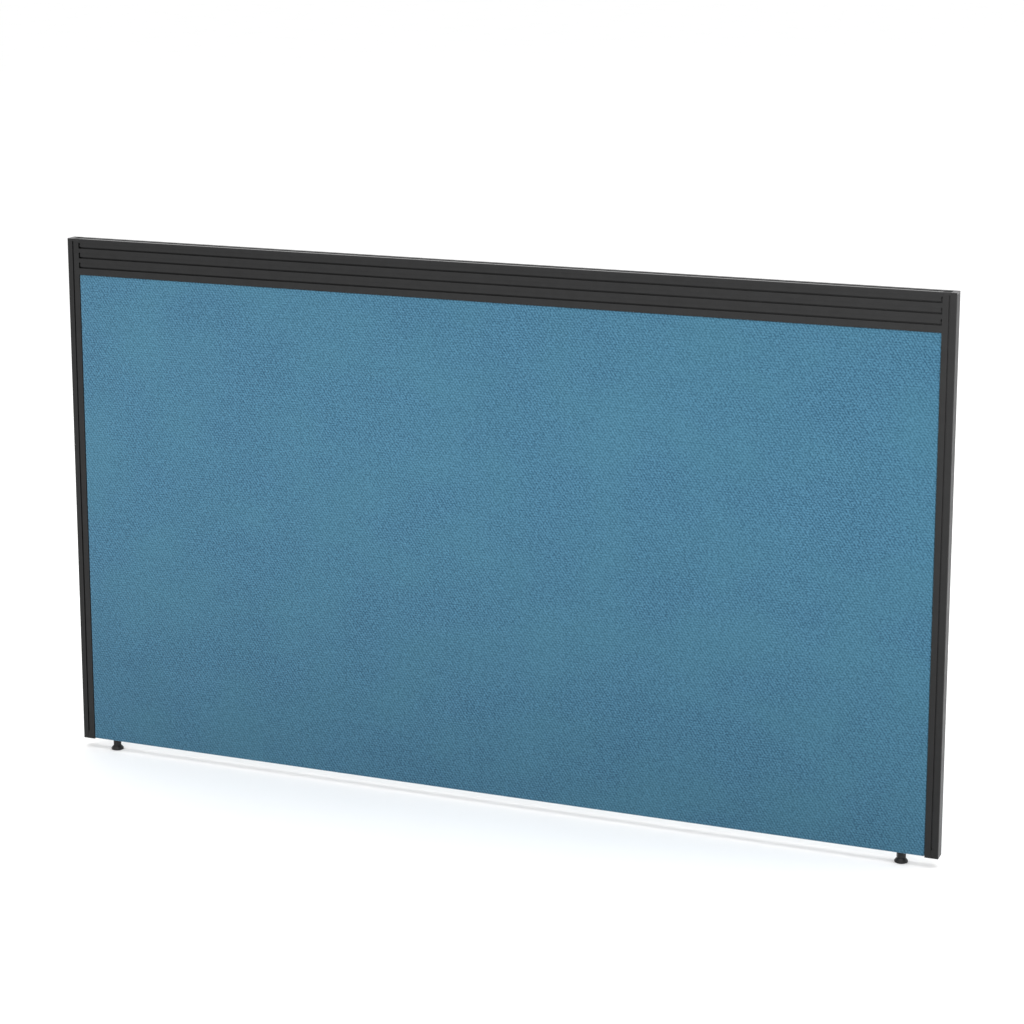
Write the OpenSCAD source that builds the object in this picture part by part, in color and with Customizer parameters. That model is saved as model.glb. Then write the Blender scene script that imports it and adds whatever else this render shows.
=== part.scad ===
// Floor-standing screen panel: a post at each end, a tool rail with hook slots across the top,
// a fabric-covered board between them, and two screw-in levelling feet.
// X runs along the panel, the front face is at -Y, and Z = 0 is the floor.

/* [Panel] */
// Overall width of the frame
frame_w = 1800; // [1000:10:2400]
// Height of the frame, without the feet
frame_h = 1050; // [700:10:1600]
// Depth of the frame, front face to back face
frame_d = 28; // [28:1:34]
// Height of the feet when they are screwed right in
foot_h = 20; // [18:0.5:25]

/* [Posts] */
// Width of a post's face
post_w = 25.5; // [24:0.5:32]
// Width of the inner stile of a post
stile_w = 11.25; // [10:0.25:13]
// Width of the shadow groove between stile and end trim
groove_w = 3; // [2:0.25:4]
// Depth of the shadow groove, from the face to the joining strip
groove_d = 3; // [2:0.5:4]
// Wall thickness of the post extrusions
post_wall = 1.5; // [1.2:0.1:1.8]
// Radius of the long outer edges of a post
post_r = 1.6; // [0.5:0.1:2.5]
// Length of the shadow groove that the stile cap closes
stile_cap_h = 5; // [4:0.5:8]
// Thickness of the plate on top of the end trim
trim_cap_h = 3; // [2:0.5:5]
// Thickness of the plate under a post
bottom_cap_h = 1.8; // [1.5:0.1:2.4]
// Height to which the bottom cap fills the shadow groove
groove_plug_h = 16; // [12:1:24]

/* [Tool rail] */
// Height of the tool rail
rail_h = 72.5; // [68:0.5:90]
// Distance between hook slots
slot_pitch = 20; // [18:0.5:24]
// Number of hook slots on each face
slot_n = 3; // [1:1:3]
// Centre of the first slot below the top edge
slot_first = 18; // [16:0.5:20]
// Height of the opening above a hook lip
slot_gap = 3.2; // [2.5:0.1:4]
// Height of the set-back strip above a slot
strip_h = 8.4; // [8:0.1:9]
// How far the strip is set back from the face
strip_in = 1.2; // [0.5:0.1:1.4]
// Gap between the end of a strip and the post
strip_end_gap = 2.5; // [1.5:0.1:4]
// Thickness of a hook lip
lip_t = 2.2; // [1.8:0.1:2.4]
// Depth of the pocket behind a lip
pocket_h = 3.5; // [3:0.1:4]
// Height of the pocket behind a strip
pocket_up = 2; // [1:0.1:2]
// Width of the channel along the top
channel_w = 10; // [8:0.5:10]
// Depth of the channel along the top
channel_d = 6; // [4.5:0.5:8]

/* [Infill] */
// Thickness of the core board
board_t = 16; // [15:0.5:18]
// Thickness of the foam on each face
foam_t = 4.6; // [3:0.1:4.6]
// Thickness of the woven fabric
cloth_t = 0.8; // [0.5:0.1:1]
// Gap between the fabric and the frame round it
cloth_gap = 0.3; // [0.2:0.1:1]
// How far the board reaches into the frame
board_in = 6; // [4:0.5:6]
// Depth of the rail hidden in the bottom edge
hidden_rail_h = 18; // [18:1:24]

/* [Feet] */
// Distance from the end of the frame to a foot
foot_inset = 71.5; // [60:0.5:200]
// Diameter of the pad
pad_d = 25.4; // [22:0.1:27]
// Size of the hexagon across its flats
hex_af = 15.5; // [13:0.5:15.5]
// Diameter of the stud
stud_d = 7.8; // [7.8:0.1:7.8]
// Radial running gap of the stud in its insert
thread_gap = 0.1; // [0.05:0.01:0.1]
// Height that the foot can be screwed out
foot_travel = 15; // [8:1:15]
// Thickness of the non-slip sole
sole_t = 1.6; // [1.2:0.1:2]

/* [Hidden] */

$fn = 48;
eps = 0.01;                           // overlap of cutters past the faces that they cut
fit_gap = 0.1;                        // gap of pegs, webs and strips in the extrusions
seat_gap = 0.3;                       // gap between pieces that don't touch

frame_z0 = foot_h;                    // underside of the frame
frame_z1 = foot_h + frame_h;          // top of the frame
half_w = frame_w / 2;
half_d = frame_d / 2;
stile_x = half_w - post_w;            // inner face of a stile
groove_x = stile_x + stile_w;         // inner side of the shadow groove
trim_x = groove_x + groove_w;         // inner face of an end trim
stile_z0 = frame_z0 + bottom_cap_h;
stile_z1 = frame_z1 - stile_cap_h;
trim_z1 = frame_z1 - trim_cap_h;
cap_floor = 1;                        // thickness of the stile cap under its notch
peg_len = 8;                          // length of the caps' pegs
peg_wall = 1.5;

strip_wall = 2.4;                     // wall of the joining strip
strip_y1 = half_d - groove_d;         // outer side of the joining strip, the groove's floor
joint_in = 2.7;                       // depth of the pocket that takes the strip in the stile
joint_x = groove_x - joint_in;        // floor of that pocket
lock_r = 1.4;                         // grub screws in the groove's floor
lock_key_r = 0.8;                     // their hexagon sockets, across the corners
lock_key_h = 1;                       // and the sockets' depth
lock_sink = 0.8;                      // how far they are sunk below the groove's floor
lock_up = 1.6;                        // height of their centres above the groove's plug
lock_z = frame_z0 + groove_plug_h + lock_up;
plug_face = 0.4;                      // how far the groove plug is set back from the face

board_y = board_t / 2;
board_gap = 0.15;                     // gap on each side of the board in the frame's grooves
board_groove_y = board_y + board_gap;
rail_z0 = frame_z1 - rail_h;
rail_wall = 1.6;
recess_y = half_d - strip_in;         // face of the set-back strips
recess_back_y = recess_y - rail_wall;
pocket_in = 4.4;                      // depth of the hook pockets behind the strips
pocket_y = recess_back_y - pocket_in;
web_y = pocket_y - rail_wall;         // inner face of the core's two long walls
lip_y = half_d - lip_t;               // back of the hook lips
skirt_h = board_in + 0.2;             // depth of the skirt that holds the board's top edge
skirt_top = skirt_h - rail_h;         // top of the skirt, as a height in the rail's section
boss_r = 3;                           // half the height of the webs that hold the screw ports

screw_r = 1.9;                        // self-tapping screws of 4.2 mm, and the ports they bite in
screw_head_r = 3.6;
screw_head_t = 2.4;
screw_len = 22;
rail_screw_h = [29.5, 49.5];          // heights of the rail screws below the top

cloth_x = stile_x - cloth_gap;        // half the width of the fabric
cloth_up = 1.3;                       // height of the fabric's lower edge above the frame's underside
cloth_z0 = frame_z0 + cloth_up;
cloth_z1 = rail_z0 - cloth_gap;       // upper edge of the fabric
hidden_up = 0.7;                      // height of the hidden rail above the fabric's lower edge
hidden_z0 = cloth_z0 + hidden_up;
hidden_z1 = hidden_z0 + hidden_rail_h;
hidden_wall = 1.6;
hidden_plug = 18;                     // solid length at each end, where the screws bite
hidden_screw_in = 5;                  // distance of its screws from its top and bottom
hidden_screw_z = [hidden_z0 + hidden_screw_in, hidden_z1 - hidden_screw_in];
board_x = stile_x + board_in - seat_gap;
board_z1 = rail_z0 + board_in - seat_gap;
stud_hole_h = 12;                     // depth of the blind holes in the board over the studs
stud_hole_gap = 0.5;

foot_x = half_w - foot_inset;
stud_r = stud_d / 2;
stud_tip = 0.8;                       // chamfer at the top of the stud
stud_grip = 9;                        // stud left in the insert when the foot is right out
insert_r = stud_r + thread_gap;       // bore of the threaded insert
insert_wall_r = 5.5;
insert_len = 16;
collar_z0 = 8.9;                      // underside of the hexagon
collar_z1 = hidden_z0 - seat_gap;
neck_r = 4.5;                         // neck below the hexagon, held in the pad's socket
neck_z0 = 3.4;
neck_gap = 0.08;
neck_floor = 1.6;                     // solid end of the neck under the stud
stud_z0 = neck_z0 + neck_floor;
stud_z1 = hidden_z0 + foot_travel + stud_grip;
pad_r = pad_d / 2;
pad_z0 = 0.8;                         // the sole stands this far out of the pad
pad_edge_z = 3;                       // top of the pad's straight edge
pad_shoulder = [10.7, 5.6];           // radius and height of the bend in the pad's flare
pad_top = [8, 8.6];                   // radius and height of the pad's top edge
sole_r = 10.5;

// Draws a shape made for the right-hand end at the left-hand end.
module at_left() {
    mirror([1, 0, 0]) children();
}

// Puts a shape on the front and on the back.
module both_faces() {
    children();
    mirror([0, 1, 0]) children();
}

// Raises an outline in the XY plane from z0 to z1.
module upright(z0, z1) {
    translate([0, 0, z0]) linear_extrude(height = z1 - z0) children();
}

// Rectangle from its low corner to its high corner.
module rect(low, high) {
    translate(low) square(high - low);
}

// Box from its low corner to its high corner.
module block(low, high) {
    translate(low) cube(high - low);
}

// Cylinder along X from x0 to x1.
module bar_x(r, x0, x1, y, z) {
    translate([x0, y, z]) rotate([0, 90, 0]) cylinder(r = r, h = x1 - x0);
}

// ---------------------------------------------------------------- posts

// Quarter of a rounded corner to cut away: its tip at the origin, filling towards -X and -Y.
module corner_cut(r) {
    difference() {
        rect([-r, -r], [eps, eps]);
        translate([-r, -r]) circle(r = r);
    }
}

// Stile section: board groove on the inner side, pocket for the joining strip on the outer side,
// and a hollow chamber behind each face.
module stile_section() {
    difference() {
        rect([stile_x, -half_d], [groove_x, half_d]);
        rect([stile_x - eps, -board_groove_y], [stile_x + board_in, board_groove_y]);
        rect([joint_x, -strip_y1 - fit_gap], [groove_x + eps, strip_y1 + fit_gap]);
        both_faces() {
            rect([stile_x + post_wall, board_groove_y + post_wall],
                 [joint_x - post_wall, half_d - post_wall]);
        }
    }
}

module stile() {
    color("#33363a") difference() {
        upright(stile_z0, stile_z1) stile_section();
        for (h = rail_screw_h) bar_x(screw_r, stile_x, groove_x, 0, frame_z1 - h);
        for (z = hidden_screw_z) bar_x(screw_r, stile_x, groove_x, 0, z);
    }
}

// Outline of an end trim, its two outer corners rounded.
module trim_outline() {
    difference() {
        rect([trim_x, -half_d], [half_w, half_d]);
        both_faces() translate([half_w, half_d]) corner_cut(post_r);
    }
}

// Rectangle inside the trim's box, a given distance from its outer faces.
module trim_inside(inset) {
    rect([trim_x + inset, inset - half_d], [half_w - inset, half_d - inset]);
}

module end_trim() {
    color("#33363a") upright(stile_z0, trim_z1) difference() {
        trim_outline();
        trim_inside(post_wall);
    }
}

// Strip that joins the trim to the stile: a channel with its web against the trim, and its legs
// in the stile's pocket, with a hole for a grub screw near the lower end of each leg.
module joining_strip() {
    color("#26282b") difference() {
        upright(stile_z0, stile_z1) difference() {
            rect([joint_x + fit_gap, -strip_y1], [trim_x, strip_y1]);
            rect([joint_x, strip_wall - strip_y1], [trim_x - strip_wall, strip_y1 - strip_wall]);
        }
        both_faces() translate([groove_x + groove_w / 2, strip_y1 + eps, lock_z])
            rotate([90, 0, 0]) cylinder(r = lock_r, h = strip_wall + 2 * eps);
    }
}

// Grub screws in the joining strips, one in each shadow groove just above the plug.
module lock_screws() {
    color("#1c1d1f") for (side = [0, 1]) mirror([side, 0, 0]) both_faces() {
        translate([groove_x + groove_w / 2, strip_y1 - lock_sink, lock_z])
            rotate([90, 0, 0]) difference() {
                cylinder(r = lock_r, h = strip_wall - lock_sink);
                translate([0, 0, -eps]) cylinder(r = lock_key_r, h = lock_key_h, $fn = 6);
            }
    }
}

// Stile cap: closes stile and groove, with a notch that carries on the rail's channel,
// and a peg in each chamber of the stile.
module stile_cap() {
    inset = post_wall + fit_gap;
    color("#33363a") {
        difference() {
            block([stile_x, -half_d, stile_z1], [trim_x, half_d, frame_z1]);
            block([stile_x - eps, -channel_w / 2, stile_z1 + cap_floor],
                  [trim_x + eps, channel_w / 2, frame_z1 + eps]);
        }
        both_faces() upright(stile_z1 - peg_len, stile_z1 + eps) {
            rect([stile_x + inset, board_groove_y + inset], [joint_x - inset, half_d - inset]);
        }
    }
}

// Hollow spigot that fits in the trim's box.
module trim_spigot(z0, z1) {
    upright(z0, z1) difference() {
        trim_inside(post_wall + fit_gap);
        trim_inside(post_wall + fit_gap + peg_wall);
    }
}

// Trim cap: a flat plate with the trim's rounded edges and a spigot below it.
module trim_cap() {
    color("#4a4d52") {
        upright(trim_z1, frame_z1) trim_outline();
        trim_spigot(trim_z1 - peg_len, trim_z1 + eps);
    }
}

// Bottom cap: a plate under the whole post, with plugs that fill the foot of the shadow groove
// and a spigot in the trim's box.
module bottom_cap() {
    color("#2b2d30") {
        upright(frame_z0, stile_z0) difference() {
            rect([stile_x, -half_d], [half_w, half_d]);
            both_faces() translate([half_w, half_d]) corner_cut(post_r);
        }
        both_faces() upright(stile_z0 - eps, frame_z0 + groove_plug_h) {
            rect([groove_x + fit_gap, strip_y1 + fit_gap], [trim_x - fit_gap, half_d - plug_face]);
        }
        trim_spigot(stile_z0 - eps, stile_z0 + peg_len);
    }
}

// ---------------------------------------------------------------- tool rail

// Runs a section, drawn as (Y, height) with the top edge at height 0, along the rail.
module along_rail() {
    translate([-stile_x, 0, frame_z1]) rotate([90, 0, 90])
        linear_extrude(height = 2 * stile_x) children();
}

// Core of the rail: a box with the floor of the top channel, and webs that hold the screw ports.
module tool_rail() {
    upper = -rail_screw_h[0];
    lower = -rail_screw_h[1];
    color("#2f3235") along_rail() difference() {
        rect([-pocket_y, skirt_top], [pocket_y, -channel_d]);
        rect([-web_y, upper + boss_r], [web_y, -channel_d - rail_wall]);
        rect([-web_y, lower + boss_r], [web_y, upper - boss_r]);
        rect([-web_y, skirt_top + rail_wall], [web_y, lower - boss_r]);
        for (h = rail_screw_h) translate([0, -h]) circle(r = screw_r);
    }
}

// One hook slot of the section: the set-back strip, the opening over the lip and the pocket
// behind both.
module slot_cut(h) {
    low = -h - slot_gap / 2;
    high = -h + slot_gap / 2;
    rect([recess_y, low], [half_d + eps, high + strip_h]);
    rect([pocket_y - eps, low - pocket_h], [lip_y, high]);
    rect([pocket_y - eps, low - pocket_h], [recess_back_y, high + pocket_up]);
    rect([recess_back_y - eps, low], [half_d, high]);
}

// Hollow behind the bar that lies above a slot, between two pockets.
module bar_hollow(h) {
    low = -h + slot_gap / 2 + pocket_up + rail_wall;
    high = -h + slot_pitch - slot_gap / 2 - pocket_h - rail_wall;
    rect([pocket_y - eps, low], [recess_back_y, min(high, -rail_wall)]);
}

// Section of the bars on the back face, from the top band down to the skirt that grips the board.
module bar_section() {
    inner_y = channel_w / 2;
    difference() {
        rect([inner_y, -rail_h], [half_d, 0]);
        rect([inner_y - eps, skirt_top], [pocket_y, -channel_d]);
        rect([inner_y - eps, -rail_h - eps], [board_groove_y, skirt_top]);
        for (i = [0 : slot_n - 1]) {
            slot_cut(slot_first + i * slot_pitch);
            bar_hollow(slot_first + i * slot_pitch);
        }
    }
}

// Bars on the back face, the end of each strip cut back to leave a narrow gap beside the posts.
module hook_bars() {
    color("#3a3d41") difference() {
        along_rail() bar_section();
        for (side = [0, 1], i = [0 : slot_n - 1]) mirror([side, 0, 0]) {
            z = frame_z1 - slot_first - i * slot_pitch;
            block([stile_x - strip_end_gap, recess_back_y - eps, z],
                  [stile_x + eps, half_d + eps, z + slot_gap / 2 + strip_h]);
        }
    }
}

// Self-tapping screws along X through both stiles, their heads in the stiles' outer pockets.
module frame_screws(heights) {
    color("silver") for (side = [0, 1], z = heights) mirror([side, 0, 0]) {
        bar_x(screw_head_r, joint_x, joint_x + screw_head_t, 0, z);
        bar_x(screw_r, joint_x - screw_len, joint_x + eps, 0, z);
    }
}

// ---------------------------------------------------------------- infill

// Hidden rail in the bottom edge: a box section, left solid near its ends, with screw ports and
// with holes for the inserts.
module bottom_rail() {
    inner_y = board_y - hidden_wall;
    x1 = stile_x - hidden_plug;
    color("#9aa0a6") difference() {
        block([-stile_x, -board_y, hidden_z0], [stile_x, board_y, hidden_z1]);
        block([-x1, -inner_y, hidden_z0 + hidden_wall], [x1, inner_y, hidden_z1 - hidden_wall]);
        for (side = [0, 1]) mirror([side, 0, 0]) {
            for (z = hidden_screw_z) bar_x(screw_r, x1 - eps, stile_x + eps, 0, z);
            at_foot() upright(hidden_z0 - eps, hidden_z0 + hidden_wall + eps)
                circle(r = insert_wall_r);
            at_foot() upright(hidden_z1 - hidden_wall - eps, hidden_z1 + eps)
                circle(r = insert_r + stud_hole_gap);
        }
    }
}

// Board: its sides sit in the stiles, its top in the tool rail, its foot on the bottom rail,
// with a blind hole over each foot's stud.
module core_board() {
    color("tan") difference() {
        block([-board_x, -board_y, hidden_z1], [board_x, board_y, board_z1]);
        for (side = [0, 1]) mirror([side, 0, 0]) {
            at_foot() upright(hidden_z1 - eps, hidden_z1 + stud_hole_h)
                circle(r = insert_r + stud_hole_gap);
        }
    }
}

// Foam sheet on the front face of the board.
module foam() {
    color("#d8d2a8") block([cloth_t - cloth_x, -board_y - foam_t, cloth_z0 + cloth_t],
                           [cloth_x - cloth_t, -board_y, cloth_z1 - cloth_t]);
}

// Fabric cover on the front: a thin tray over the foam, its edges folded back to the board.
module cover() {
    color("#4b8496") difference() {
        block([-cloth_x, -board_y - foam_t - cloth_t, cloth_z0], [cloth_x, -board_y, cloth_z1]);
        block([cloth_t - cloth_x, -board_y - foam_t, cloth_z0 + cloth_t],
              [cloth_x - cloth_t, -board_y + eps, cloth_z1 - cloth_t]);
    }
}

// ---------------------------------------------------------------- feet

module at_foot() {
    translate([foot_x, 0, 0]) children();
}

// Threaded insert in the bottom rail.
module foot_insert() {
    color("#c9a24b") at_foot() upright(hidden_z0, hidden_z0 + insert_len) difference() {
        circle(r = insert_wall_r);
        circle(r = insert_r);
    }
}

// Pad: a flared disc with a socket for the collar's neck and a recess for the sole.
module foot_pad() {
    color("#222325") at_foot() difference() {
        rotate_extrude() polygon([
            [0, pad_z0], [pad_r, pad_z0], [pad_r, pad_edge_z], pad_shoulder, pad_top,
            [0, pad_top[1]]
        ]);
        upright(pad_z0 - eps, sole_t) circle(r = sole_r);
        upright(neck_z0 - neck_gap, pad_top[1] + eps) circle(r = neck_r + neck_gap);
    }
}

// Non-slip disc under the pad.
module foot_sole() {
    color("#55585c") at_foot() upright(0, sole_t) circle(r = sole_r);
}

// Hexagonal grip with its neck, moulded round the stud.
module foot_collar() {
    hex_r = hex_af / 2 / cos(30);
    color("#222325") at_foot() difference() {
        union() {
            upright(collar_z0, collar_z1) circle(r = hex_r, $fn = 6);
            upright(neck_z0, collar_z0 + eps) circle(r = neck_r);
        }
        upright(stud_z0, collar_z1 + eps) circle(r = stud_r);
    }
}

// Stud, with its thread drawn plain.
module foot_stud() {
    color("silver") at_foot() {
        upright(stud_z0, stud_z1 - stud_tip) circle(r = stud_r);
        translate([0, 0, stud_z1 - stud_tip])
            cylinder(r1 = stud_r, r2 = stud_r - stud_tip, h = stud_tip);
    }
}

at_left() stile();  // left_stile
stile();  // right_stile
at_left() end_trim();  // left_end_trim
end_trim();  // right_end_trim
at_left() joining_strip();  // left_joining_strip
joining_strip();  // right_joining_strip
lock_screws();
at_left() stile_cap();  // left_stile_cap
stile_cap();  // right_stile_cap
at_left() trim_cap();  // left_trim_cap
trim_cap();  // right_trim_cap
at_left() bottom_cap();  // left_bottom_cap
bottom_cap();  // right_bottom_cap
tool_rail();
mirror([0, 1, 0]) hook_bars();  // front_hook_bars
hook_bars();  // back_hook_bars
frame_screws([for (h = rail_screw_h) frame_z1 - h]);  // rail_screws
bottom_rail();
frame_screws(hidden_screw_z);  // bottom_rail_screws
core_board();
foam();  // front_foam
mirror([0, 1, 0]) foam();  // back_foam
cover();  // front_cover
mirror([0, 1, 0]) cover();  // back_cover
at_left() foot_insert();  // left_foot_insert
foot_insert();  // right_foot_insert
at_left() foot_pad();  // left_foot_pad
foot_pad();  // right_foot_pad
at_left() foot_sole();  // left_foot_sole
foot_sole();  // right_foot_sole
at_left() foot_collar();  // left_foot_collar
foot_collar();  // right_foot_collar
at_left() foot_stud();  // left_foot_stud
foot_stud();  // right_foot_stud
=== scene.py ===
"""Desk privacy panel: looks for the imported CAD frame. Lengths are in metres unless a name says mm."""
import math

import bmesh
import bpy
import numpy as np
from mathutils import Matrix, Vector


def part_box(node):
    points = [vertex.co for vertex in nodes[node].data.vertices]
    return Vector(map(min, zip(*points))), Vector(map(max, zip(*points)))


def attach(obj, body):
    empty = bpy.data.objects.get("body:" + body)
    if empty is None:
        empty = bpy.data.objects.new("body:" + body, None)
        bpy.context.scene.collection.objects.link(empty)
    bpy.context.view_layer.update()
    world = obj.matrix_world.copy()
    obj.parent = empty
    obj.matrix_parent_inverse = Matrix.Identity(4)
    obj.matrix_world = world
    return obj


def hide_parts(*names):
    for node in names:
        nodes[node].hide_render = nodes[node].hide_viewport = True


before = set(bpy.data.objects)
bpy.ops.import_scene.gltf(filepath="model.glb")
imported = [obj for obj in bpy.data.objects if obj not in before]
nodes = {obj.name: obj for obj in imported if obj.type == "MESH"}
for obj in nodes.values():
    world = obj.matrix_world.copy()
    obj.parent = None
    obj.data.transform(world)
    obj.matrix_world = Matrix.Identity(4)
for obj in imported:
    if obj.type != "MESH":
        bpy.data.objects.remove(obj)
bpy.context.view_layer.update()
scene = bpy.context.scene
MM = 0.001

CLOTH_ROLL = 2.6 * MM           # radius of the fabric's rolled edges
CLOTH_CROWN = 0.25 * MM         # how far the fabric swells in the middle
CLOTH_THICKNESS = 0.7 * MM
FOAM_ROLL = 2.2 * MM
FOAM_CROWN = 0.2 * MM
FOAM_SKIN = 1.2 * MM            # thickness that the foam pad's shell is drawn with
FOAM_BACK = 0.1 * MM            # how far the foam's face is set back from its CAD solid
CROWN_RUN = 50 * MM             # how far in from a sheet's edge its swelling reaches full height
THREAD_PITCH = 1.25 * MM
THREAD_DEPTH = 0.62 * MM
EXTRUSION_BEVEL = 0.35 * MM
PAD_BEVEL = 0.38 * MM
GRIP_BEVEL = 0.7 * MM
FLOOR_RADIUS = 30
FLOOR_DROP = 0.2 * MM           # keeps the floor clear of the soles
GRAIN_ALONG, GRAIN_UP = 0.1595, 0.1095      # grains of the weave per mm, along and up
THREADS_ALONG, THREADS_UP = 0.957, 0.876    # threads of the weave per mm, along and up


# ---------------------------------------------------------------- camera, light and floor

def camera():
    """Long lens beyond the panel's right end and above its top, turned left and down."""
    yaw, pitch = math.radians(21.79), math.radians(11.17)
    forward = Vector((-math.sin(yaw) * math.cos(pitch), math.cos(yaw) * math.cos(pitch), -math.sin(pitch)))
    data = bpy.data.cameras.new("camera")
    data.lens, data.sensor_width = 90.1, 36
    data.shift_y = -0.14        # a larger shift would carry the panel out of the picture in other views
    cam = bpy.data.objects.new("camera", data)
    cam.location = (1.819, -4.412, 1.809)
    cam.rotation_mode = "QUATERNION"
    cam.rotation_quaternion = forward.to_track_quat("-Z", "Y")
    scene.collection.objects.link(cam)
    scene.camera = cam


def area_light(name, place, target, size, power, spread=180):
    data = bpy.data.lights.new(name, "AREA")
    data.shape, data.size, data.size_y = "RECTANGLE", size[0], size[1]
    data.energy, data.spread = power, math.radians(spread)
    lamp = bpy.data.objects.new(name, data)
    lamp.location = place
    lamp.rotation_mode = "QUATERNION"
    lamp.rotation_quaternion = (Vector(target) - Vector(place)).to_track_quat("-Z", "Y")
    scene.collection.objects.link(lamp)


def studio():
    """White surroundings, a wide light overhead, a narrow beam on the front and a small light on the
    right end."""
    world = bpy.data.worlds.new("studio")
    world.use_nodes = True
    scene.world = world
    background = world.node_tree.nodes["Background"].inputs
    background["Color"].default_value = (1, 1, 1, 1)
    background["Strength"].default_value = 1.05
    area_light("overhead", (1.5, -0.5, 6), (0.5, 0, 0), (10, 8), 290)
    area_light("front", (0.5, -5.5, 1.8), (0, 0, 0.78), (5.5, 0.6), 10.4, spread=20)
    area_light("side", (4.2, 0.6, 1.6), (0.9, 0, 0.6), (1.2, 2.4), 20)
    scene.view_settings.view_transform = "Standard"
    scene.view_settings.look = "None"


def floor():
    bm = bmesh.new()
    bmesh.ops.create_circle(bm, cap_ends=True, segments=96, radius=FLOOR_RADIUS)
    mesh = bpy.data.meshes.new("floor")
    bm.to_mesh(mesh)
    bm.free()
    obj = bpy.data.objects.new("floor", mesh)
    obj.location = (0, 0, -FLOOR_DROP)
    scene.collection.objects.link(obj)
    obj.data.materials.append(pale_floor())


# ---------------------------------------------------------------- material helpers

class Net:
    """A new material's node tree, built with short calls that return sockets."""

    def __init__(self, name):
        self.material = bpy.data.materials.new(name)
        self.material.use_nodes = True
        self.tree = self.material.node_tree
        self.shader = self.tree.nodes["Principled BSDF"]
        self.place = self.node("ShaderNodeTexCoord").outputs["Object"]
        self.xyz = self.node("ShaderNodeSeparateXYZ", Vector=self.place).outputs

    def node(self, kind, props=(), **inputs):
        made = self.tree.nodes.new(kind)
        for key, value in dict(props).items():
            setattr(made, key, value)
        for key, value in inputs.items():
            self.feed(made.inputs[key.replace("_", " ")], value)
        return made

    def feed(self, socket, value):
        if isinstance(value, bpy.types.NodeSocket):
            self.tree.links.new(value, socket)
        else:
            socket.default_value = value

    def math(self, operation, *values):
        made = self.node("ShaderNodeMath", {"operation": operation})
        for socket, value in zip(made.inputs, values):
            self.feed(socket, value)
        return made.outputs[0]

    def steps(self, value, low, high, to_low=0.0, to_high=1.0):
        """Smooth step of a value from low to high."""
        made = self.node("ShaderNodeMapRange", {"interpolation_type": "SMOOTHSTEP"}, Value=value)
        for key, number in (("From Min", low), ("From Max", high), ("To Min", to_low), ("To Max", to_high)):
            made.inputs[key].default_value = number
        return made.outputs[0]

    def stretch(self, scale):
        """The object's coordinates, each times its own factor."""
        made = self.node("ShaderNodeVectorMath", {"operation": "MULTIPLY"})
        self.feed(made.inputs[0], self.place)
        made.inputs[1].default_value = scale
        return made.outputs[0]

    def noise(self, scale, detail=2.0, rough=0.5, stretch=None):
        where = self.stretch(stretch) if stretch else self.place
        made = self.node("ShaderNodeTexNoise", Vector=where, Scale=scale, Detail=detail, Roughness=rough)
        return made.outputs["Fac"]

    def cells(self, scale, stretch=None):
        where = self.stretch(stretch) if stretch else self.place
        return self.node("ShaderNodeTexVoronoi", Vector=where, Scale=scale).outputs["Distance"]

    def wave(self, *cycles_per_mm, phase=0.0):
        """Cosine of the object's coordinates, from -1 to 1, with these cycles per mm along X, Y and Z."""
        total = phase
        for socket, cycles in zip(self.xyz, cycles_per_mm):
            if cycles:
                total = self.math("MULTIPLY_ADD", socket, 2 * math.pi * cycles / MM, total)
        return self.math("COSINE", total)

    def mix(self, factor, a, b):
        made = self.node("ShaderNodeMix", {"data_type": "RGBA"})
        self.feed(made.inputs["Factor"], factor)
        for socket, value in ((made.inputs[6], a), (made.inputs[7], b)):
            self.feed(socket, (*value, 1) if isinstance(value, tuple) else value)
        return made.outputs[2]

    def facing(self):
        """The X, Y and Z parts of the face's own normal."""
        normal = self.node("ShaderNodeNewGeometry").outputs["True Normal"]
        return self.node("ShaderNodeSeparateXYZ", Vector=normal).outputs

    def edges(self):
        """1 on the small bevels along edges, 0 on flat faces that lie along the axes."""
        sizes = [self.math("ABSOLUTE", part) for part in self.facing()]
        largest = self.math("MAXIMUM", self.math("MAXIMUM", sizes[0], sizes[1]), sizes[2])
        return self.steps(largest, 0.97, 0.8)

    def bump(self, height, depth):
        """Bump of a height from 0 to 1, depth metres deep."""
        return self.node("ShaderNodeBump", Height=height, Distance=depth, Strength=1.0).outputs[0]

    def finish(self, **inputs):
        for key, value in inputs.items():
            socket = self.shader.inputs[key.replace("_", " ")]
            self.feed(socket, (*value, 1) if isinstance(value, tuple) and len(value) == 3 else value)
        return self.material


# ---------------------------------------------------------------- materials

def pale_floor():
    net = Net("pale_floor")
    tone = net.steps(net.noise(3.0, 3), 0.3, 0.7, 0.945, 0.96)
    colour = net.node("ShaderNodeCombineColor", Red=tone, Green=tone, Blue=tone).outputs[0]
    return net.finish(Base_Color=colour, Roughness=0.75, Specular_IOR_Level=0.2)


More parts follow.
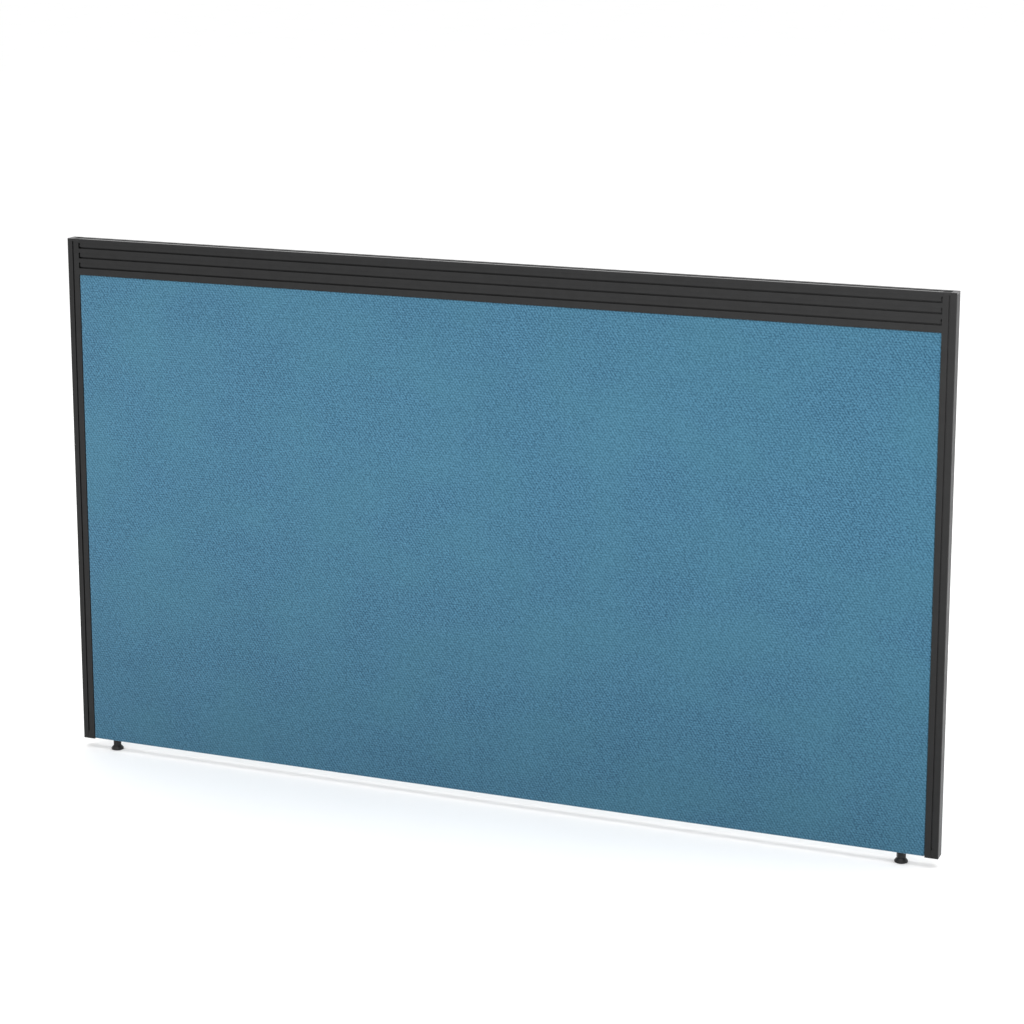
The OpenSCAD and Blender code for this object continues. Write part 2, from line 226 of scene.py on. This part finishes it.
def crepe(name):
    """Two-tone crepe: slanting grains in a brick pattern, 6.27 mm along and 9.13 mm up, over fine
    threads about 1 mm apart, all a little irregular."""
    net = Net(name)
    stray = net.math("MULTIPLY_ADD", net.noise(70, 2), 5.0, -2.5)
    slant = net.wave(GRAIN_ALONG, 0, GRAIN_UP, phase=stray)
    rows = net.wave(0, 0, 2 * GRAIN_UP, phase=net.math("MULTIPLY", stray, 0.6))
    cross = net.wave(-GRAIN_ALONG, 0, GRAIN_UP, phase=net.math("ADD", stray, 0.4))
    grain = net.math("MULTIPLY", slant, 0.5)
    grain = net.math("MULTIPLY_ADD", rows, 0.3, grain)
    grain = net.math("MULTIPLY_ADD", cross, 0.14, grain)
    warp = net.math("ABSOLUTE", net.wave(THREADS_ALONG / 2, 0, 0))
    weft = net.math("ABSOLUTE", net.wave(0, 0, THREADS_UP / 2))
    threads = net.math("MULTIPLY", warp, weft)
    slub = net.noise(230, 3, 0.75, stretch=(1, 1, 1.3))
    drift = net.noise(9, 3)
    tone = net.math("ADD", grain, net.math("MULTIPLY_ADD", slub, 6.4, -3.2))
    tone = net.math("ADD", tone, net.math("MULTIPLY_ADD", threads, 1.3, -0.53))
    tone = net.math("ADD", tone, net.math("MULTIPLY_ADD", drift, 0.3, -0.15))
    colour = net.mix(net.steps(tone, -1.3, 1.3), (0.0091, 0.0577, 0.104), (0.0513, 0.167, 0.261))
    teal = net.steps(net.noise(5, 2, stretch=(1, 1, 1.4)), 0.35, 0.7)
    colour = net.mix(net.math("MULTIPLY", teal, 0.25), colour, (0.04, 0.15, 0.2))
    height = net.math("ADD", grain, net.math("MULTIPLY", threads, 1.2))
    normal = net.bump(net.steps(height, -0.9, 2.0), 0.0004)
    rough = net.steps(tone, -1, 1, 0.95, 0.8)
    return net.finish(Base_Color=colour, Roughness=rough, Normal=normal, Specular_IOR_Level=0.2,
                      Sheen_Weight=0.15, Sheen_Roughness=0.6)


def powder_coat(name, tone):
    """Fine-textured black powder coat, a little lighter on its edges, from rubbed wear and a painted
    highlight, and smoother on the top faces that hands slide along."""
    net = Net(name)
    mottle = net.steps(net.noise(60, 3), 0.3, 0.7)
    colour = net.mix(mottle, tuple(0.85 * c for c in tone), tuple(1.15 * c for c in tone))
    speck = net.steps(net.noise(1900, 1), 0.62, 0.72)
    colour = net.mix(net.math("MULTIPLY", speck, 0.25), colour, tuple(2.2 * c for c in tone))
    # Edges lighter all along as a painted highlight (never under 0.4), with patches of rubbed wear on top
    rub_and_edge_highlight = net.math("MULTIPLY", net.edges(), net.steps(net.noise(90, 4, 0.7), 0.2, 0.8, 0.4, 1.0))
    colour = net.mix(net.math("MULTIPLY", rub_and_edge_highlight, 0.45), colour, (0.05, 0.051, 0.053))
    rough = net.steps(net.noise(35, 4, 0.6), 0.25, 0.75, 0.39, 0.45)
    rough = net.math("MULTIPLY", rough, net.steps(net.facing()["Z"], 0.9, 0.99, 1.0, 0.6))
    grain = net.math("ADD", net.noise(1400, 2), net.math("MULTIPLY", net.noise(300, 1), 0.5))
    return net.finish(Base_Color=colour, Roughness=rough, Normal=net.bump(grain, 0.00002),
                      Specular_IOR_Level=0.265)


def moulded(name, tone, rough, scuffed=0.35):
    """Moulded plastic with a fine spark-eroded grain and scuffed edges."""
    net = Net(name)
    mottle = net.steps(net.noise(45, 3), 0.3, 0.7)
    colour = net.mix(mottle, tuple(0.8 * c for c in tone), tuple(1.2 * c for c in tone))
    scuff = net.math("MULTIPLY", net.edges(), net.steps(net.noise(160, 3), 0.45, 0.6))
    colour = net.mix(net.math("MULTIPLY", scuff, scuffed), colour, (0.14, 0.14, 0.145))
    roughness = net.steps(net.noise(50, 3), 0.3, 0.7, rough - 0.06, rough + 0.08)
    return net.finish(Base_Color=colour, Roughness=roughness, Normal=net.bump(net.cells(900), 0.00003),
                      Specular_IOR_Level=0.3)


def metal(name, light, dark, rough, brush=(1, 1, 1)):
    """Plated or bare metal, with fine streaks along the axis whose brush factor is small."""
    net = Net(name)
    streak = net.noise(700, 3, stretch=brush)
    colour = net.mix(net.steps(streak, 0.35, 0.65), dark, light)
    bloom = net.steps(net.noise(40, 3), 0.4, 0.7, 0.0, 0.3)
    colour = net.mix(bloom, colour, dark)
    roughness = net.steps(streak, 0.3, 0.7, rough - 0.06, rough + 0.1)
    return net.finish(Base_Color=colour, Metallic=1.0, Roughness=roughness,
                      Normal=net.bump(streak, 0.00001))


def particle_board(name):
    """Pressed wood chips, with a few dark ones."""
    net = Net(name)
    chips = net.cells(260, stretch=(1, 2.4, 1))
    colour = net.mix(net.steps(chips, 0.2, 0.7), (0.44, 0.31, 0.18), (0.62, 0.48, 0.31))
    colour = net.mix(net.steps(net.noise(500, 2), 0.6, 0.7), colour, (0.25, 0.16, 0.09))
    return net.finish(Base_Color=colour, Roughness=net.steps(chips, 0.1, 0.8, 0.75, 0.95),
                      Normal=net.bump(chips, 0.0002))


def open_foam(name):
    """Cream foam with open pores of about a millimetre."""
    net = Net(name)
    pores = net.cells(900)
    colour = net.mix(net.steps(pores, 0.15, 0.6), (0.5, 0.45, 0.28), (0.78, 0.73, 0.55))
    return net.finish(Base_Color=colour, Roughness=net.steps(pores, 0.1, 0.7, 0.85, 0.98),
                      Normal=net.bump(pores, 0.0004))


def rubber(name):
    """Moulded rubber with ribs 2 mm apart."""
    net = Net(name)
    colour = net.mix(net.steps(net.noise(120, 3), 0.35, 0.65), (0.05, 0.05, 0.055), (0.085, 0.085, 0.09))
    ribs = net.wave(0, 0.5, 0)
    return net.finish(Base_Color=colour, Roughness=net.steps(net.noise(200, 2), 0.3, 0.7, 0.75, 0.9),
                      Normal=net.bump(net.math("MULTIPLY_ADD", ribs, 0.5, 0.5), 0.0001))


# ---------------------------------------------------------------- geometry helpers

def new_object(name, points, faces):
    mesh = bpy.data.meshes.new(name)
    mesh.from_pydata([tuple(p) for p in points], [], faces)
    mesh.validate()
    mesh.shade_smooth()
    obj = bpy.data.objects.new(name, mesh)
    scene.collection.objects.link(obj)
    return obj


def thicken(obj, thickness):
    """Gives an open surface its thickness, towards its inner side."""
    shell = obj.modifiers.new("thickness", "SOLIDIFY")
    shell.thickness, shell.offset = thickness, -1


def soften(name, width, segments=2):
    """Small bevels on a CAD node's edges, by modifiers alone."""
    obj = nodes[name]
    weld = obj.modifiers.new("weld", "WELD")
    weld.merge_threshold = 1e-6
    flat = obj.modifiers.new("planar", "DECIMATE")
    flat.decimate_type, flat.angle_limit = "DISSOLVE", math.radians(0.5)
    bevel = obj.modifiers.new("bevel", "BEVEL")
    bevel.width, bevel.segments = width, segments
    bevel.limit_method, bevel.angle_limit = "ANGLE", math.radians(35)
    bevel.use_clamp_overlap = True
    normal = obj.modifiers.new("normals", "WEIGHTED_NORMAL")
    normal.keep_sharp = False


def tray(name, low, high, front_y, back_y, radius, crown, step=0.0125, turns=5):
    """A sheet over a flat face at front_y, with rolled edges that run back to back_y. The face swells
    by crown away from its edges. It looks towards -Y if front_y < back_y, else towards +Y."""
    out = -1 if front_y < back_y else 1
    (x0, z0), (x1, z1) = np.add(low, radius), np.subtract(high, radius)
    nx, nz = (max(2, round(length / step)) for length in (x1 - x0, z1 - z0))
    xs, zs = np.linspace(x0, x1, nx + 1), np.linspace(z0, z1, nz + 1)
    points, faces = [], []

    def at(i, j):
        return j * (nx + 1) + i

    def swell(x, z):
        edge = min(x - x0, x1 - x, z - z0, z1 - z)
        t = min(1.0, edge / CROWN_RUN)
        return crown * t * t * (3 - 2 * t)

    for z in zs:
        for x in xs:
            points.append((x, front_y + out * swell(x, z), z))
    for j in range(nz):
        for i in range(nx):
            faces.append((at(i, j), at(i + 1, j), at(i + 1, j + 1), at(i, j + 1)))
    # Spokes: the points round the face in order, each with the angle in which the edge rolls away.
    # A corner point has several, so that the roll turns the corner.
    ring = [(at(i, 0), -90) for i in range(nx)] + [(at(nx, j), 0) for j in range(nz)]
    ring += [(at(i, nz), 90) for i in range(nx, 0, -1)] + [(at(0, j), 180) for j in range(nz, 0, -1)]
    corner = {at(0, 0): -180, at(nx, 0): -90, at(nx, nz): 0, at(0, nz): 90}
    spokes = []
    for index, angle in ring:
        if index in corner:
            spokes += [(index, corner[index] + 90 * k / turns) for k in range(turns + 1)]
        else:
            spokes.append((index, angle))
    rows = [[index for index, _ in spokes]]
    profile = [(radius * math.sin(a), radius * (1 - math.cos(a))) for a in
               (math.pi / 2 * k / turns for k in range(1, turns + 1))]
    depth = abs(back_y - front_y)
    profile += [(radius, depth)]
    for reach, back in profile:
        row = []
        for index, angle in spokes:
            x, _, z = points[index]
            a = math.radians(angle)
            row.append(len(points))
            points.append((x + reach * math.cos(a), front_y - out * back, z + reach * math.sin(a)))
        rows.append(row)
    count = len(spokes)
    for upper, lower in zip(rows, rows[1:]):
        for k in range(count):
            a, b = upper[k], upper[(k + 1) % count]
            c, d = lower[(k + 1) % count], lower[k]
            faces.append((a, d, c) if a == b else (a, d, c, b))
    if out > 0:
        faces = [face[::-1] for face in faces]
    return new_object(name, points, faces)


def thread(name, x, z0, z1, radius, pitch, depth, sides=20, rows_per_turn=6):
    """Threaded stud: a rod whose radius rises and falls along a right-hand helix, with flat ends."""
    rows = round((z1 - z0) / pitch * rows_per_turn)
    points = [(x, 0, z0)]
    for row in range(rows + 1):
        z = z0 + (z1 - z0) * row / rows
        for k in range(sides):
            a = 2 * math.pi * k / sides
            crest = 0.5 + 0.5 * math.cos(2 * math.pi * z / pitch - a) if 0 < row < rows else 0
            r = radius - depth * (1 - crest)
            points.append((x + r * math.cos(a), r * math.sin(a), z))
    points.append((x, 0, z1))
    faces = []
    top, last = len(points) - 1, 1 + rows * sides
    for k in range(sides):
        following = (k + 1) % sides
        faces.append((0, 1 + following, 1 + k))
        faces.append((top, last + k, last + following))
        for row in range(rows):
            start = 1 + row * sides
            faces.append((start + k, start + following, start + sides + following, start + sides + k))
    return new_object(name, points, faces)


# ---------------------------------------------------------------- building

def paint(material, *names):
    for name in names:
        slots = nodes[name].data.materials
        slots.clear()
        slots.append(material)


def infill():
    """The fabric and foam on each face, in place of their plain CAD solids."""
    cloth, foam = crepe("crepe_blue"), open_foam("foam_cream")
    for face, out in (("front", -1), ("back", 1)):
        low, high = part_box(f"{face}_cover")
        near, far = (low.y, high.y) if out < 0 else (high.y, low.y)
        fabric = tray(f"{face}_fabric", (low.x, low.z), (high.x, high.z), near, far,
                      CLOTH_ROLL, CLOTH_CROWN)
        fabric.data.materials.append(cloth)
        thicken(fabric, CLOTH_THICKNESS)
        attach(fabric, "frame")
        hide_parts(f"{face}_cover")
        low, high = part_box(f"{face}_foam")
        near, far = (low.y, high.y) if out < 0 else (high.y, low.y)
        pad = tray(f"{face}_foam_pad", (low.x, low.z), (high.x, high.z), near - out * FOAM_BACK, far,
                   FOAM_ROLL, FOAM_CROWN, step=0.05)
        pad.data.materials.append(foam)
        thicken(pad, FOAM_SKIN)
        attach(pad, "frame")
        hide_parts(f"{face}_foam")


def studs():
    """Threaded studs in place of the plain ones."""
    zinc = metal("zinc_thread", (0.72, 0.71, 0.68), (0.5, 0.49, 0.47), 0.3, (1, 1, 0.2))
    for end in ("left", "right"):
        low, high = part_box(f"{end}_foot_stud")
        x, radius = (low.x + high.x) / 2, (high.x - low.x) / 2
        stud = thread(f"{end}_stud_thread", x, low.z, high.z, radius, THREAD_PITCH, THREAD_DEPTH)
        stud.data.materials.append(zinc)
        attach(stud, f"{end}_screw")
        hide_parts(f"{end}_foot_stud")


def both(name):
    return f"left_{name}", f"right_{name}"


def frame_looks():
    """Materials and softened edges for the CAD nodes that stay."""
    paint(powder_coat("coat_posts", (0.0062, 0.0062, 0.0062)), *both("stile"), *both("end_trim"))
    # A lighter copy of the powder coat: painted light that lifts the shade in the grooves where the joining
    # strips lie
    paint(powder_coat("coat_strips_painted_light", (0.009, 0.009, 0.009)), *both("joining_strip"))
    paint(powder_coat("coat_rail", (0.0058, 0.0058, 0.006)), "front_hook_bars", "back_hook_bars")
    # A darker copy of the powder coat: painted shade for the tool rail's hook slots and top channel
    paint(powder_coat("coat_core_painted_shade", (0.0025, 0.0025, 0.0027)), "tool_rail")
    paint(moulded("cap_plastic", (0.0065, 0.0065, 0.0067), 0.42), *both("stile_cap"), *both("bottom_cap"))
    paint(moulded("trim_cap_plastic", (0.012, 0.012, 0.0125), 0.26), *both("trim_cap"))
    paint(moulded("foot_nylon", (0.0075, 0.0076, 0.008), 0.45, 0.05),
          *both("foot_pad"), *both("foot_collar"))
    paint(rubber("sole_rubber"), *both("foot_sole"))
    paint(metal("black_steel", (0.05, 0.05, 0.052), (0.02, 0.02, 0.021), 0.4), "lock_screws")
    paint(metal("zinc", (0.72, 0.71, 0.68), (0.5, 0.49, 0.47), 0.3, (0.2, 1, 1)), "rail_screws",
          "bottom_rail_screws")
    paint(metal("mill_aluminium", (0.75, 0.755, 0.76), (0.58, 0.585, 0.59), 0.35, (0.05, 1, 1)),
          "bottom_rail")
    paint(metal("brass", (0.75, 0.55, 0.25), (0.5, 0.34, 0.13), 0.3, (1, 1, 0.2)), *both("foot_insert"))
    paint(particle_board("board_raw"), "core_board")
    for name in (*both("stile"), *both("end_trim"), *both("stile_cap"), *both("trim_cap"),
                 *both("bottom_cap"), "tool_rail", "front_hook_bars", "back_hook_bars"):
        soften(name, EXTRUSION_BEVEL)
    for name in both("foot_pad"):
        soften(name, PAD_BEVEL, 3)
    for name in both("foot_collar"):
        soften(name, GRIP_BEVEL, 3)


camera()
studio()
floor()
frame_looks()
infill()
studs()
